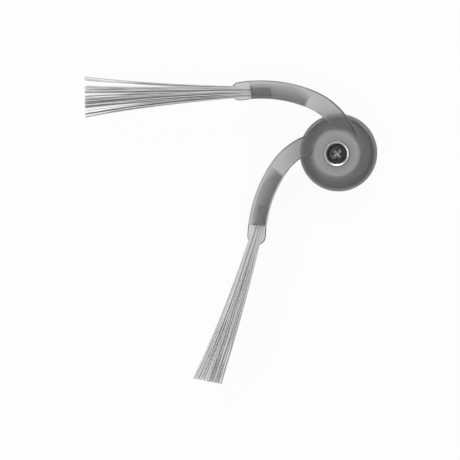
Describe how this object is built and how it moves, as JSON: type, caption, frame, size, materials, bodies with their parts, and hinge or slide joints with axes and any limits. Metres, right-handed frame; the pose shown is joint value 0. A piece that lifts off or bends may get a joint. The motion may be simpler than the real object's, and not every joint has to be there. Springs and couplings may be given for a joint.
{
  "type": "robot vacuum side brush",
  "caption": "Robot vacuum side brush: a conical hub with a central screw, curved translucent arms on one side of it and fanned bristle tufts at their ends.",
  "frame": {"origin": "on the hub axis, in the plane of the rim, at the mouth of the drive socket", "axes": "+Z along the hub axis towards the screw head, +X and +Y as right and up in the view onto the screw head"},
  "size_m": [0.1048, 0.1112, 0.0153],
  "materials": {
    "frosted_plastic": "satin",
    "nylon_bristle": "satin",
    "black_steel": "satin",
    "bright_steel": "polished"
  },
  "bodies": {
    "root": {"brush_body": "frosted_plastic", "upper_bristle_tuft": "nylon_bristle", "lower_bristle_tuft": "nylon_bristle", "screw": "black_steel", "screw_bush": "bright_steel"}
  },
  "joints": []
}
